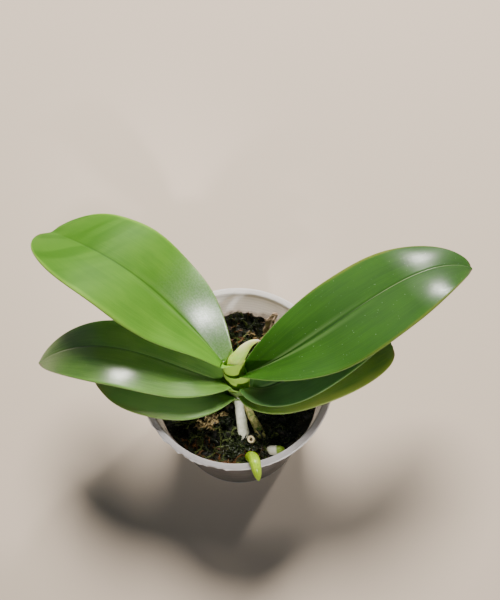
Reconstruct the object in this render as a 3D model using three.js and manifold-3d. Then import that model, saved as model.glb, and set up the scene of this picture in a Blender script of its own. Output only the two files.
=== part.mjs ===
// A young moth orchid without flowers, in a translucent plastic pot filled with sphagnum moss.
// Millimetres, +Z up. The origin is the centre of the pot's underside. -Y is the front.
import * as THREE from 'three';
import { mergeVertices } from 'three/addons/utils/BufferGeometryUtils.js';
import Module from 'manifold-3d';

const wasm = await Module();
wasm.setup();

// Driving dimensions of the pot.
const POT_HEIGHT = 76;
const RIM_RADIUS = 45;
const RIM_WIDTH = 3.6;
const RIM_DROP = 2.2;
const FOOT_RADIUS = 32;
const WALL = 1.0;
const FLOOR = 1.2;
const POT_SIDES = 48;
const CHANNEL = { inner: 12, outer: 26, rise: 1.6, slope: 1.4 };
const DRAIN = { count: 6, radius: 3, ring: 19 };

// Driving dimensions of the moss, the stem, the leaves and the clearances between pieces.
const GAP = 0.35;
const MOSS_BOTTOM = FLOOR + CHANNEL.rise + GAP;
const MOSS_LEVEL = 56.5;
const MOSS_RINGS = 8;
const MOSS_FORM = { swell: 1.3, lump: 0.9, back: 3.2, tuft: 3.4, tuftX: -12, tuftY: -20, tuftSpread: 60 };
const STRANDS = {
  count: 50, seed: 11, sides: 3, steps: 3, radius: [0.8, 1.2], length: [9, 17], arch: [1.6, 3.6], sunk: 1.8, bow: 0.25,
};
const SHEATH_NECK = 0.8;
const SHEATH_FLARE = 0.12;
const STEM = { bottom: [1.6, -7.4, 44], top: [0.1, 1.0, 81], foot: 3.4, head: 4.1, sides: 20 };
const LEAF_THICKNESS = 1.7;
const LEAF_EDGE = 0.75;
const LEAF_ROWS = 14;
const LEAF_COLUMNS = 8;
const TIP_WIDTH = 0.5;
const KEEL_RADIUS = 1;
const ARCH = 0.006;

// A seeded random number from 0 to 1, so that every build places the moss alike.
function seededRandom(seed) {
  let state = seed;
  return () => {
    state = (state * 1664525 + 1013904223) % 4294967296;
    return state / 4294967296;
  };
}

function smooth(low, high, value) {
  const t = THREE.MathUtils.clamp((value - low) / (high - low), 0, 1);
  return t * t * (3 - 2 * t);
}

function vector(place) {
  return new THREE.Vector3(...place);
}

// Solids: a closed geometry becomes a manifold solid and comes back as a geometry.
function solidFrom(geometry) {
  const bare = new THREE.BufferGeometry();
  bare.setAttribute('position', geometry.getAttribute('position'));
  if (geometry.index) bare.setIndex(geometry.index);
  const merged = mergeVertices(bare, 1e-4);
  return new wasm.Manifold(new wasm.Mesh({
    numProp: 3,
    vertProperties: new Float32Array(merged.getAttribute('position').array),
    triVerts: new Uint32Array(merged.index.array),
  }));
}

function geometryFrom(solid) {
  const mesh = solid.getMesh();
  const geometry = new THREE.BufferGeometry();
  geometry.setAttribute('position', new THREE.BufferAttribute(mesh.vertProperties, 3));
  geometry.setIndex(new THREE.BufferAttribute(mesh.triVerts, 1));
  geometry.computeVertexNormals();
  return geometry;
}

// A cut can leave loose scraps, so only the largest body is kept.
function largestBody(solid) {
  return solid.decompose().reduce((a, b) => (a.volume() > b.volume() ? a : b));
}

// A closed skin over rings of points, each ring counter-clockwise seen from the end it runs to.
function loft(rings) {
  const sides = rings[0].length;
  const places = [];
  const faces = [];
  rings.forEach((ring) => ring.forEach((p) => places.push(p.x, p.y, p.z)));
  for (let i = 0; i + 1 < rings.length; i += 1) {
    for (let j = 0; j < sides; j += 1) {
      const a = i * sides + j;
      const b = i * sides + (j + 1) % sides;
      faces.push(a, b, b + sides, a, b + sides, a + sides);
    }
  }
  [[0, rings[0]], [rings.length - 1, rings.at(-1)]].forEach(([row, ring]) => {
    const middle = ring.reduce((sum, p) => sum.add(p), new THREE.Vector3()).divideScalar(sides);
    const hub = places.length / 3;
    places.push(middle.x, middle.y, middle.z);
    for (let j = 0; j < sides; j += 1) {
      const a = row * sides + j;
      const b = row * sides + (j + 1) % sides;
      faces.push(...(row === 0 ? [hub, b, a] : [hub, a, b]));
    }
  });
  const geometry = new THREE.BufferGeometry();
  geometry.setAttribute('position', new THREE.Float32BufferAttribute(places, 3));
  geometry.setIndex(faces);
  return geometry;
}

// A round tube along a curve, whose radius changes from the start to the end.
function taperedTube(curve, radiusAt, steps, sides, grow = 0) {
  const frames = curve.computeFrenetFrames(steps, false);
  const rings = [];
  for (let i = 0; i <= steps; i += 1) {
    const centre = curve.getPointAt(i / steps);
    if (i === 0) centre.addScaledVector(frames.tangents[0], -grow);
    if (i === steps) centre.addScaledVector(frames.tangents[i], grow);
    const radius = radiusAt(i / steps) + grow;
    const ring = [];
    for (let j = 0; j < sides; j += 1) {
      const turn = (2 * Math.PI * j) / sides;
      ring.push(centre.clone()
        .addScaledVector(frames.normals[i], radius * Math.cos(turn))
        .addScaledVector(frames.binormals[i], radius * Math.sin(turn)));
    }
    rings.push(ring);
  }
  return loft(rings);
}

// The cubic curve that passes four points at equal steps.
function curveThrough(places) {
  const [a, b, c, d] = places.map(vector);
  const mix = (ka, kb, kc, kd) => new THREE.Vector3()
    .addScaledVector(a, ka / 6).addScaledVector(b, kb / 6)
    .addScaledVector(c, kc / 6).addScaledVector(d, kd / 6);
  return new THREE.CubicBezierCurve3(a, mix(-5, 18, -9, 2), mix(2, -9, 18, -5), d);
}

// The pot: a tapered cup with a flat rim turned down at its edge, and a foot with a raised channel.
function potOuterRadius(z) {
  const neck = RIM_RADIUS - RIM_WIDTH;
  return FOOT_RADIUS + (neck - FOOT_RADIUS) * (z / POT_HEIGHT);
}

function potInnerRadius(z) {
  return potOuterRadius(z) - WALL;
}

function potGeometry() {
  const under = POT_HEIGHT - WALL;
  const profile = [
    [0, 0], [CHANNEL.inner, 0],
    [CHANNEL.inner + CHANNEL.slope, CHANNEL.rise], [CHANNEL.outer - CHANNEL.slope, CHANNEL.rise],
    [CHANNEL.outer, 0], [FOOT_RADIUS - 1.2, 0], [FOOT_RADIUS - 0.3, 0.4], [potOuterRadius(1.6), 1.6],
    [potOuterRadius(under), under],
    [RIM_RADIUS - 1.5, under], [RIM_RADIUS - 0.8, under - 0.4], [RIM_RADIUS - 0.7, POT_HEIGHT - RIM_DROP],
    [RIM_RADIUS, POT_HEIGHT - RIM_DROP], [RIM_RADIUS, under + 0.3], [RIM_RADIUS - 0.8, POT_HEIGHT],
    [potInnerRadius(POT_HEIGHT) + 0.5, POT_HEIGHT], [potInnerRadius(POT_HEIGHT), POT_HEIGHT - 0.5],
    [potInnerRadius(FLOOR + 2), FLOOR + 2], [potInnerRadius(FLOOR + 2) - 1.2, FLOOR + 0.3],
    [CHANNEL.outer + 1, FLOOR],
    [CHANNEL.outer - CHANNEL.slope + 0.6, FLOOR + CHANNEL.rise],
    [CHANNEL.inner + CHANNEL.slope - 0.6, FLOOR + CHANNEL.rise],
    [CHANNEL.inner - 1, FLOOR], [0, FLOOR],
  ].map(([r, z]) => new THREE.Vector2(r, z));
  const cup = new THREE.LatheGeometry(profile, POT_SIDES);
  cup.deleteAttribute('uv');
  cup.deleteAttribute('normal');
  cup.rotateX(Math.PI / 2);
  let pot = solidFrom(cup);
  for (let i = 0; i < DRAIN.count; i += 1) {
    const turn = (2 * Math.PI * (i + 0.5)) / DRAIN.count;
    const drill = new THREE.CylinderGeometry(DRAIN.radius, DRAIN.radius, 12, 16);
    drill.deleteAttribute('uv');
    drill.deleteAttribute('normal');
    drill.rotateX(Math.PI / 2);
    drill.translate(DRAIN.ring * Math.cos(turn), DRAIN.ring * Math.sin(turn), 2);
    pot = pot.subtract(solidFrom(drill));
  }
  return geometryFrom(pot);
}

// The stem: a short leaning core wrapped in leaf sheaths, each opening towards its own blade.
function stemAxis(z) {
  const [low, high] = [vector(STEM.bottom), vector(STEM.top)];
  return low.clone().lerp(high, (z - low.z) / (high.z - low.z));
}

// A sheath runs from a circle round the stem to an oval lip, higher on the side of its blade.
function sheathGeometry(sheath, grow) {
  const heading = THREE.MathUtils.degToRad(sheath.heading);
  const towards = new THREE.Vector3(Math.cos(heading), Math.sin(heading), 0);
  const aside = new THREE.Vector3(-Math.sin(heading), Math.cos(heading), 0);
  const steps = 4;
  const rings = [];
  for (let i = 0; i <= steps; i += 1) {
    const t = i / steps;
    const centre = stemAxis(sheath.z + (t - 1) * sheath.height).addScaledVector(towards, sheath.lean * t * t);
    const radius = THREE.MathUtils.lerp(sheath.radius * SHEATH_NECK, sheath.radius, t) + grow;
    const end = { 0: -grow, [steps]: grow }[i] ?? 0;
    rings.push(Array.from({ length: STEM.sides }, (_, j) => {
      const turn = (2 * Math.PI * j) / STEM.sides;
      const place = centre.clone().addScaledVector(towards, radius * (1 + SHEATH_FLARE * t) * Math.cos(turn));
      place.addScaledVector(aside, radius * Math.sin(turn));
      return place.setZ(place.z + sheath.tilt * t * t * Math.cos(turn) + end);
    }));
  }
  return loft(rings);
}

const SHEATHS = [
  { z: 61.0, height: 11, heading: 188, radius: 4.2, lean: 0.8, tilt: 1.2 },
  { z: 63.0, height: 10, heading: -8, radius: 4.3, lean: 1.0, tilt: 1.2 },
  { z: 68.0, height: 10, heading: 180, radius: 4.4, lean: 1.2, tilt: 1.4 },
  { z: 69.5, height: 10, heading: 2, radius: 4.5, lean: 1.2, tilt: 1.6 },
  { z: 75.0, height: 10, heading: 8, radius: 4.7, lean: 1.3, tilt: 1.8 },
  { z: 79.5, height: 11, heading: 152, radius: 4.5, lean: 1.2, tilt: 2.0 },
];

function stemSolid(grow) {
  const core = new THREE.LineCurve3(stemAxis(STEM.bottom[2]), stemAxis(STEM.top[2] - 3));
  const radiusAt = (t) => THREE.MathUtils.lerp(STEM.foot, STEM.head, t);
  let stem = solidFrom(taperedTube(core, radiusAt, 6, STEM.sides, grow));
  SHEATHS.forEach((sheath) => {
    stem = stem.add(solidFrom(sheathGeometry(sheath, grow)));
  });
  return stem;
}

// The roots: where each runs, and how its radius changes from the stem or the moss to its tip.
const ROOTS = [
  {
    name: 'root_front', color: 0xc9cbbd, sides: 9, steps: 26,
    places: [
      [0.2, -4, 63], [0.5, -8, 61.8], [1.2, -13.8, 58.8], [2.1, -20, 57], [2.8, -24.5, 55], [3.9, -29, 56.8],
      [4.8, -32.2, 64], [5.8, -35.6, 73], [6.8, -39.5, 78.7], [7.7, -44, 79.3], [8.5, -48.4, 76],
    ],
    radii: [[0, 1.6], [0.35, 1.9], [0.56, 1.9], [0.62, 2.35], [0.74, 2.6], [0.9, 2.1], [1, 1.7]],
  },
  {
    name: 'root_side', color: 0x6d6a3a, sides: 9, steps: 18,
    places: [
      [3.0, -4.8, 59.6], [4.3, -8.8, 59.2], [6.3, -13.1, 58.4], [9.6, -18.3, 57.6], [12.6, -22.4, 56.2],
      [15.2, -26.2, 57], [17.2, -28.9, 59.6], [19.2, -30.4, 61.4],
    ],
    radii: [[0, 1.5], [0.6, 1.7], [0.8, 1.9], [0.9, 1.7], [1, 1.3]],
  },
  {
    name: 'root_stub', color: 0xd8c9a0, sides: 10, steps: 8,
    places: [[9.5, -24.4, 50], [7.6, -25.2, 54], [6.3, -26, 57.6], [5.7, -26.4, 60.2]],
    radii: [[0, 1.4], [0.9, 1.6], [1, 1.5]],
  },
];

// The radius at t along a root, read between its listed radii; the last twentieth is rounded off.
function rootRadius(root, t) {
  const next = Math.max(1, root.radii.findIndex(([at]) => at >= t));
  const [[from, start], [to, end]] = [root.radii[next - 1], root.radii[next]];
  const radius = THREE.MathUtils.lerp(start, end, (t - from) / (to - from));
  const tip = THREE.MathUtils.clamp((t - 0.95) / 0.05, 0, 0.96);
  return radius * Math.sqrt(1 - tip * tip);
}

function rootSolid(root, grow) {
  const curve = new THREE.CatmullRomCurve3(root.places.map(vector));
  return solidFrom(taperedTube(curve, (t) => rootRadius(root, t), root.steps, root.sides, grow));
}

// The leaves. The midrib passes four places: the base, a third, two thirds and the tip.
// left and right are the half widths to either hand of someone walking from the base to the tip.
// swell, blunt and round shape the outline. roll raises the left hand side and fold is the valley
// along the midrib, in degrees at the base and at the tip. lobes carry each half past the midrib's end.
const LEAVES = [
  {
    name: 'leaf_left_upper', color: 0x6fa343,
    midrib: [[-4.2, 2.6, 78.5], [-30, 22.5, 108.5], [-53, 36, 123.5], [-82, 59, 108.5]],
    left: 23.5, right: 23.5, widest: 0.5, base: 4.6, swell: [0.9, 0.75], blunt: 2.6, round: 0.43,
    roll: [0, 10], fold: [54, 14], lobes: [5, 1.5],
  },
  {
    name: 'leaf_right_upper', color: 0x4f8a34,
    midrib: [[4.6, 0.2, 75], [38, 6, 106], [74, 26, 113], [107.5, 36.5, 103]],
    left: 19, right: 21.5, widest: 0.45, base: 4.6, swell: [0.85, 0.85], blunt: 2.1, round: 0.78,
    roll: [0, -4], fold: [52, 10], lobes: [1.5, 0.5],
  },
  {
    name: 'leaf_left_middle', color: 0x457c30,
    midrib: [[-4.6, -1.2, 68.5], [-28, 0, 89], [-58, 7.5, 94], [-91.5, 8.5, 75.5]],
    left: 18.5, right: 14.5, widest: 0.6, base: 4.4, swell: [0.7, 0.9], blunt: 2.1, round: 0.76,
    roll: [4, 8], fold: [45, 8], lobes: [0, 0],
  },
  {
    name: 'leaf_right_middle', color: 0x2f5a32,
    midrib: [[4.8, -1.6, 67.5], [24, -5.5, 84], [52, 10, 91], [76, 20, 86]],
    left: 15.5, right: 15, widest: 0.5, base: 4.4, swell: [0.9, 0.75], blunt: 2.1, round: 0.7,
    roll: [0, 0], fold: [45, 14], lobes: [0, 0],
  },
  {
    name: 'leaf_left_lower', color: 0x4c6a2c,
    midrib: [[-4.0, -3.6, 60.5], [-23.5, -7.5, 78], [-45, -3.5, 82], [-64.5, -2.5, 78]],
    left: 17, right: 16, widest: 0.51, base: 4.2, swell: [0.7, 0.9], blunt: 2.1, round: 0.71,
    roll: [0, 0], fold: [45, 12], lobes: [0, 0],
  },
  {
    name: 'leaf_right_lower', color: 0x5c7a34,
    midrib: [[5.0, -3.6, 61.0], [21.5, -8, 76], [50, 1, 81.5], [72.5, 9.5, 79]],
    left: 15, right: 14.5, widest: 0.57, base: 4.2, swell: [0.9, 0.75], blunt: 2.1, round: 0.66,
    roll: [0, 0], fold: [45, 12], lobes: [1, 0.5],
  },
  {
    name: 'leaf_new', color: 0xb4c66a,
    midrib: [[1.2, 2.4, 80.5], [3.6, 2.2, 90], [5, 3.2, 96], [10.3, 6.4, 99]],
    left: 5.9, right: 6.1, widest: 0.35, base: 3.2, swell: [1, 1], blunt: 2.1, round: 0.9,
    roll: [0, 0], fold: [62, 50], lobes: [0, 0], rows: 9,
  },
];

// The dried husk of an old leaf base: a short curled strip that stands in the moss.
const HUSK = {
  name: 'dry_husk', color: 0xa88a62,
  midrib: [[15.0, 27.2, 53], [16.3, 29.3, 60], [18.0, 30.8, 66.5], [20.0, 31.8, 72]],
  left: 3.4, right: 3.0, widest: 0.5, base: 2.4, swell: [1, 1], blunt: 2.1, round: 0.5,
  roll: [0, 0], fold: [66, 50], lobes: [2.2, -1], rows: 8, thickness: 0.9,
};

// Half width along the leaf: it swells from the base to its widest place and closes at the tip.
function halfWidth(leaf, side, s) {
  const most = side > 0 ? leaf.left : leaf.right;
  const swell = leaf.swell[side > 0 ? 0 : 1];
  if (s < leaf.widest) {
    return leaf.base + (most - leaf.base) * Math.sin((Math.PI / 2) * (s / leaf.widest)) ** swell;
  }
  const x = Math.min(1, (s - leaf.widest) / (1 - leaf.widest));
  return TIP_WIDTH + (most - TIP_WIDTH) * (1 - x ** leaf.blunt) ** leaf.round;
}

// A place on the leaf's middle surface: s runs from the base to the tip, v from -1 (right) to 1 (left).
function leafPlace(leaf, curve, s, v) {
  const forward = curve.getTangent(s);
  const left = new THREE.Vector3(0, 0, 1).cross(forward).normalize();
  const up = forward.clone().cross(left);
  const roll = THREE.MathUtils.degToRad(THREE.MathUtils.lerp(leaf.roll[0], leaf.roll[1], s));
  const across = left.clone().multiplyScalar(Math.cos(roll)).addScaledVector(up, Math.sin(roll));
  const out = up.clone().multiplyScalar(Math.cos(roll)).addScaledVector(left, -Math.sin(roll));
  const reach = Math.abs(v) * halfWidth(leaf, v, s);
  const valley = THREE.MathUtils.lerp(leaf.fold[0], leaf.fold[1], smooth(0, 0.35, s));
  const angle = THREE.MathUtils.degToRad(valley);
  const climb = Math.sqrt(reach * reach + KEEL_RADIUS ** 2) - KEEL_RADIUS;
  const bend = ARCH * reach * reach * smooth(0.05, 0.5, s);
  const lobe = (v > 0 ? leaf.lobes[0] : leaf.lobes[1]) * smooth(0, 5, reach) * smooth(0.7, 1, s);
  return curve.getPoint(s)
    .addScaledVector(across, Math.sign(v) * reach * Math.cos(angle))
    .addScaledVector(out, climb * Math.sin(angle) - bend)
    .addScaledVector(forward, lobe);
}

// A leaf blade: two skins of the same grid, apart by the thickness, joined round the margin.
function leafGeometry(leaf, grow = 0) {
  const curve = curveThrough(leaf.midrib);
  const wide = { ...leaf, left: leaf.left + grow, right: leaf.right + grow, base: leaf.base + grow };
  const width = LEAF_COLUMNS + 1;
  const rows = leaf.rows ?? LEAF_ROWS;
  const places = [];
  const step = 1e-3;
  [1, -1].forEach((side) => {
    for (let i = 0; i <= rows; i += 1) {
      const t = i / rows;
      const s = 1 - (1 - t) ** 1.35;
      for (let j = 0; j <= LEAF_COLUMNS; j += 1) {
        const v = 1 - (2 * j) / LEAF_COLUMNS;
        const here = leafPlace(wide, curve, s, v);
        const ahead = leafPlace(wide, curve, Math.min(s + step, 1), v)
          .sub(leafPlace(wide, curve, Math.max(s - step, 0), v));
        const leftward = leafPlace(wide, curve, s, Math.min(v + step, 1))
          .sub(leafPlace(wide, curve, s, Math.max(v - step, -1)));
        const normal = ahead.clone().cross(leftward).normalize();
        const thick = THREE.MathUtils.lerp(leaf.thickness ?? LEAF_THICKNESS, LEAF_EDGE, v * v) + 2 * grow;
        here.addScaledVector(normal, (side * thick) / 2);
        if (i === 0) here.addScaledVector(ahead.normalize(), -grow);
        places.push(here.x, here.y, here.z);
      }
    }
  });
  const under = (rows + 1) * width;
  const faces = [];
  const quad = (a, b, c, d) => faces.push(a, b, c, a, c, d);
  for (let i = 0; i < rows; i += 1) {
    for (let j = 0; j < LEAF_COLUMNS; j += 1) {
      const a = i * width + j;
      quad(a, a + 1, a + 1 + width, a + width);
      const b = a + under;
      faces.push(b, b + 1 + width, b + 1, b, b + width, b + 1 + width);
    }
    const l = i * width;
    const r = l + LEAF_COLUMNS;
    quad(l, l + width, l + width + under, l + under);
    quad(r, r + under, r + width + under, r + width);
  }
  for (let j = 0; j < LEAF_COLUMNS; j += 1) {
    const last = rows * width + j;
    quad(j, j + under, j + 1 + under, j + 1);
    quad(last, last + 1, last + 1 + under, last + under);
  }
  const geometry = new THREE.BufferGeometry();
  geometry.setAttribute('position', new THREE.Float32BufferAttribute(places, 3));
  geometry.setIndex(faces);
  return geometry;
}

// The moss: a bed whose top is uneven, higher at the back and round the stem, with strands on it.
function mossHeight(x, y) {
  const form = MOSS_FORM;
  const swells = form.swell * Math.sin(0.21 * x + 0.6) * Math.cos(0.19 * y - 0.4);
  const lumps = form.lump * Math.sin(0.47 * x - 0.33 * y + 1.1) * Math.cos(0.39 * x + 0.52 * y);
  const back = form.back * smooth(18, 36, y);
  const tuft = form.tuft * Math.exp(-((x - form.tuftX) ** 2 + (y - form.tuftY) ** 2) / form.tuftSpread);
  return MOSS_LEVEL + swells + lumps + back + tuft;
}

function mossBed() {
  const ring = (radius, zAt) => Array.from({ length: POT_SIDES }, (_, j) => {
    const turn = (2 * Math.PI * j) / POT_SIDES;
    const [x, y] = [radius * Math.cos(turn), radius * Math.sin(turn)];
    return new THREE.Vector3(x, y, zAt(x, y));
  });
  const reach = potInnerRadius(MOSS_LEVEL) + 2;
  const rings = [ring(reach, () => MOSS_BOTTOM)];
  for (let i = 0; i < MOSS_RINGS; i += 1) rings.push(ring(reach * (1 - i / MOSS_RINGS), mossHeight));
  return solidFrom(loft(rings));
}

function strandSolid(random) {
  const between = ([low, high]) => low + (high - low) * random();
  const turn = 2 * Math.PI * random();
  const away = potInnerRadius(MOSS_LEVEL) * Math.sqrt(random());
  const heading = 2 * Math.PI * random();
  const length = between(STRANDS.length);
  const bow = length * STRANDS.bow * (random() - 0.5);
  const arch = between(STRANDS.arch);
  const start = [away * Math.cos(turn), away * Math.sin(turn)];
  const at = (t, side, lift) => {
    const x = start[0] + (t - 0.5) * length * Math.cos(heading) - side * Math.sin(heading);
    const y = start[1] + (t - 0.5) * length * Math.sin(heading) + side * Math.cos(heading);
    return new THREE.Vector3(x, y, mossHeight(x, y) + lift);
  };
  const curve = new THREE.CatmullRomCurve3([
    at(0, 0, -STRANDS.sunk), at(0.33, bow, arch * 0.8), at(0.67, bow, arch * 0.7), at(1, 0, -STRANDS.sunk),
  ]);
  const radius = between(STRANDS.radius);
  return solidFrom(taperedTube(curve, () => radius, STRANDS.steps, STRANDS.sides));
}

// The space inside the pot that the moss may fill, clear of the wall.
function pottingSpace() {
  const top = POT_HEIGHT - 4;
  const space = new THREE.LatheGeometry([
    new THREE.Vector2(0, MOSS_BOTTOM), new THREE.Vector2(potInnerRadius(MOSS_BOTTOM) - GAP, MOSS_BOTTOM),
    new THREE.Vector2(potInnerRadius(top) - GAP, top), new THREE.Vector2(0, top),
  ], POT_SIDES);
  space.deleteAttribute('uv');
  space.deleteAttribute('normal');
  space.rotateX(Math.PI / 2);
  return solidFrom(space);
}

function mossSolid() {
  const random = seededRandom(STRANDS.seed);
  let moss = mossBed();
  for (let i = 0; i < STRANDS.count; i += 1) moss = moss.add(strandSolid(random));
  moss = moss.intersect(pottingSpace()).subtract(stemSolid(GAP));
  ROOTS.forEach((root) => {
    moss = moss.subtract(rootSolid(root, GAP));
  });
  return largestBody(moss.subtract(solidFrom(leafGeometry(HUSK, GAP))));
}

const group = new THREE.Group();

function addPiece(name, geometry, color, roughness) {
  const piece = new THREE.Mesh(geometry, new THREE.MeshStandardMaterial({ color, roughness, metalness: 0 }));
  piece.name = name;
  group.add(piece);
}

addPiece('pot', potGeometry(), 0xd6d4d0, 0.35);
addPiece('moss', geometryFrom(mossSolid()), 0x23260f, 0.8);
addPiece('stem', geometryFrom(stemSolid(0)), 0x9bb03a, 0.4);
LEAVES.forEach((leaf) => {
  const blade = largestBody(solidFrom(leafGeometry(leaf)).subtract(stemSolid(GAP)));
  addPiece(leaf.name, geometryFrom(blade), leaf.color, 0.3);
});
ROOTS.forEach((root) => {
  const body = largestBody(rootSolid(root, 0).subtract(stemSolid(GAP)));
  addPiece(root.name, geometryFrom(body), root.color, 0.6);
});
addPiece(HUSK.name, leafGeometry(HUSK), HUSK.color, 0.85);

export default group;
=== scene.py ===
# %% [markdown]
# # A young moth orchid in a frosted pot
# This lesson dresses a finished model of a potted orchid. The model's solids are the frame: they say
# where each leaf, root and the pot is. Here each of them gets its fine shape and its finish.
# All sizes below are in millimetres, as a grower would measure them, and MM turns them into metres.

# %% Load the frame
import math

import bpy
import numpy as np
from mathutils import Matrix, Vector, noise


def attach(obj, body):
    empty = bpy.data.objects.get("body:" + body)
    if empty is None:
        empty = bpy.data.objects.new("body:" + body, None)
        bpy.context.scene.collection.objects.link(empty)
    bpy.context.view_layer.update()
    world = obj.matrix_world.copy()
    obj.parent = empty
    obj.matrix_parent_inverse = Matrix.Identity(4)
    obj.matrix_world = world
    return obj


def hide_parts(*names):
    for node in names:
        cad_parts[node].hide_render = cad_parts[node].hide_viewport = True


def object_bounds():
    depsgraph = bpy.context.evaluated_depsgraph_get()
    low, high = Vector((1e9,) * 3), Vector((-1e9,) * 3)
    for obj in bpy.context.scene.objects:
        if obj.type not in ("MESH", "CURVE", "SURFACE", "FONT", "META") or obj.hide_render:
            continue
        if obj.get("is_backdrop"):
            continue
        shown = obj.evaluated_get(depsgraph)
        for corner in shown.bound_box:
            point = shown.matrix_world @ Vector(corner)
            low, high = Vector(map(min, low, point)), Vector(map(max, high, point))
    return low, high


MM = 0.001
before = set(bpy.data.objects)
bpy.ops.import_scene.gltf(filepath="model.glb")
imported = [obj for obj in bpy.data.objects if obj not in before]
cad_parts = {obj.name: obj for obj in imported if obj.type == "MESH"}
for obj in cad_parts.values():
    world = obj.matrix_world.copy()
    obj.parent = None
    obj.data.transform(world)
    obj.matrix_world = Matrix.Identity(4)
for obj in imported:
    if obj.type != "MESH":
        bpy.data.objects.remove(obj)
cad_low, cad_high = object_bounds()
print("nodes to dress:", ", ".join(sorted(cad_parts)))

# %% [markdown]
# ## The camera comes first
# The plant is seen from the front and from well above, a little to the right of the pot's middle.
# The camera is placed by what it looks at, how far away it is and how steeply it looks down.

# %% Camera
LOOK_AT = (7.4, 38.0, 76.0)
DISTANCE = 372.0
STEEPNESS = math.radians(62.9)
ROLL = math.radians(-1.8)
LENS = 46.16
SENSOR_WIDTH = 36
NEAREST = 0.01

camera = bpy.data.objects.new("camera", bpy.data.cameras.new("camera"))
bpy.context.scene.collection.objects.link(camera)
camera.data.lens = LENS
camera.data.sensor_width = SENSOR_WIDTH
camera.data.clip_start = NEAREST
back = Vector((0, -math.cos(STEEPNESS), math.sin(STEEPNESS)))
level_right = Vector((1, 0, 0))
level_up = back.cross(level_right)
right = level_right * math.cos(ROLL) + level_up * math.sin(ROLL)
up = level_up * math.cos(ROLL) - level_right * math.sin(ROLL)
turned = Matrix((right, up, back)).transposed().to_4x4()
camera.matrix_world = Matrix.Translation((Vector(LOOK_AT) + back * DISTANCE) * MM) @ turned
bpy.context.scene.camera = camera
print("camera stands at", [round(v, 3) for v in camera.matrix_world.translation])

# %% [markdown]
# ## Meshes from rings
# A leaf, a root, a strand of moss and a sheath are all a row of closed rings with a skin over them.
# One helper makes that skin, so each plant part only has to say where its rings are.
# The helper also keeps three numbers for each point, which the finishes use to know where on the
# part they are, such as how far along a leaf and how far from its midrib.


# %% Skin over rings
def skin(rings):
    """Faces over rings of points, shape (rings, sides, 3), closed at both ends."""
    count, sides = rings.shape[:2]
    at = np.arange(count * sides).reshape(count, sides)
    a, b = at[:-1], np.roll(at[:-1], -1, axis=1)
    c, d = np.roll(at[1:], -1, axis=1), at[1:]
    faces = np.stack([a, b, c, d], axis=-1).reshape(-1, 4).tolist()
    return faces + [at[0, ::-1].tolist(), at[-1].tolist()]


class Heap:
    """Many small skins gathered for one mesh."""

    def __init__(self):
        self.points, self.faces, self.notes, self.total = [], [], [], 0

    def add(self, points, faces, notes):
        points = np.asarray(points, float).reshape(-1, 3)
        self.faces += [[i + self.total for i in face] for face in faces]
        self.points.append(points)
        self.notes.append(np.broadcast_to(np.asarray(notes, float).reshape(-1, 3), points.shape))
        self.total += len(points)

    def piece(self, name, finish, node=None, smooth=True):
        mesh = bpy.data.meshes.new(name)
        mesh.from_pydata((np.concatenate(self.points) * MM).tolist(), [], self.faces)
        note = mesh.attributes.new("place", "FLOAT_VECTOR", "POINT")
        note.data.foreach_set("vector", np.concatenate(self.notes).astype(np.float32).ravel())
        mesh.polygons.foreach_set("use_smooth", [smooth] * len(mesh.polygons))
        mesh.materials.append(finish)
        made = bpy.data.objects.new(name, mesh)
        bpy.context.scene.collection.objects.link(made)
        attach(made, "root")
        if node:
            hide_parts(node)
        print(name, "has", len(mesh.polygons), "faces")
        return made


def one_skin(name, rings, notes, finish, node):
    """A piece that is a single skin."""
    heap = Heap()
    heap.add(rings, skin(rings), notes)
    return heap.piece(name, finish, node)


# %% [markdown]
# ## Sweeping a ring along a path
# A root or a strand of moss is a ring carried along a path. The ring must not spin as the path
# bends, so each new ring keeps the direction of the one before it as nearly as it can.


# %% Sweep
def unit(vectors):
    return vectors / np.linalg.norm(vectors, axis=-1, keepdims=True)


def full_turn(sides):
    """Even angles round a ring."""
    return 2 * np.pi * np.arange(sides) / sides


def smooth_path(stops, count):
    """A Catmull-Rom path through the stops, as evenly spaced points."""
    stops = np.asarray(stops, float)
    ends = np.vstack([2 * stops[0] - stops[1], stops, 2 * stops[-1] - stops[-2]])
    fine = []
    for p0, p1, p2, p3 in zip(ends, ends[1:], ends[2:], ends[3:]):
        t = np.linspace(0, 1, 24, endpoint=False)[:, None]
        curve = 2 * p1 + (p2 - p0) * t + (2 * p0 - 5 * p1 + 4 * p2 - p3) * t**2
        fine.append((curve + (3 * p1 - p0 - 3 * p2 + p3) * t**3) / 2)
    fine = np.vstack([*fine, stops[-1:]])
    walked = np.concatenate([[0], np.cumsum(np.linalg.norm(np.diff(fine, axis=0), axis=1))])
    even = np.linspace(0, walked[-1], count)
    return np.stack([np.interp(even, walked, fine[:, k]) for k in range(3)], axis=1)


def sweep(path, radii, sides):
    """Rings round a path, shape (points, sides, 3)."""
    ahead = unit(np.gradient(path, axis=0))
    aside = np.cross(ahead[0], [0.3, 0.2, 1.0])
    turns = full_turn(sides)
    rings = []
    for point, forward, radius in zip(path, ahead, radii):
        aside = unit(aside - forward * (aside @ forward))
        other = np.cross(forward, aside)
        circle = np.cos(turns)[:, None] * aside + np.sin(turns)[:, None] * other
        rings.append(point + radius * circle)
    return np.array(rings)


def smoothstep(low, high, value):
    t = np.clip((value - low) / (high - low), 0, 1)
    return t * t * (3 - 2 * t)


# %% [markdown]
# ## Arithmetic for finishes
# A finish in Blender is a graph of nodes. Written as plain Python expressions it reads like the
# recipe that it is: this mask times that noise, and one colour laid over another. The class below
# wraps one socket of the graph, and its operators add the Math nodes.


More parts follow.
